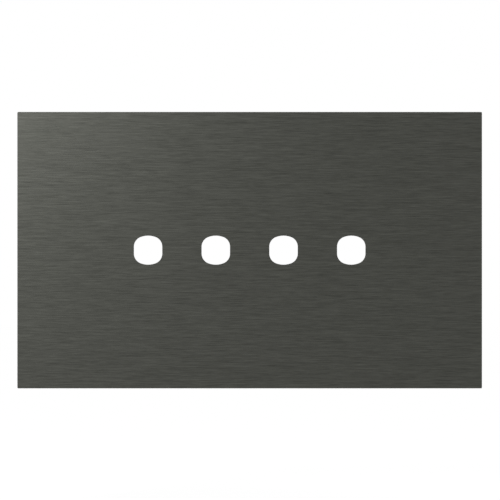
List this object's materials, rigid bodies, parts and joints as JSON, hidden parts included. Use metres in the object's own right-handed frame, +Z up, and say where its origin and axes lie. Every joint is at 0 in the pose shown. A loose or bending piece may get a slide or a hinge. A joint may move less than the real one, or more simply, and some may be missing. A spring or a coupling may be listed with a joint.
{
  "type": "switch frame",
  "caption": "Flat brushed metal cover plate for a light switch, with a row of small crowned rocker openings, bonded to a moulded frame that clips over the mounting grid.",
  "frame": {"origin": "on the wall plane, behind the middle of the face: the centre of the clip frame's open mouth", "axes": "+X to the right and +Z up as seen by someone who faces the wall, +Y into the wall, so the face looks along -Y"},
  "size_m": [0.12, 0.008, 0.0714],
  "materials": {
    "brushed_metal": "dark anodised over fine brushing that runs along X",
    "moulded_plastic": "charcoal, fine spark texture"
  },
  "bodies": {
    "root": {"face_plate": "brushed_metal", "clip_frame": "moulded_plastic"}
  },
  "joints": []
}
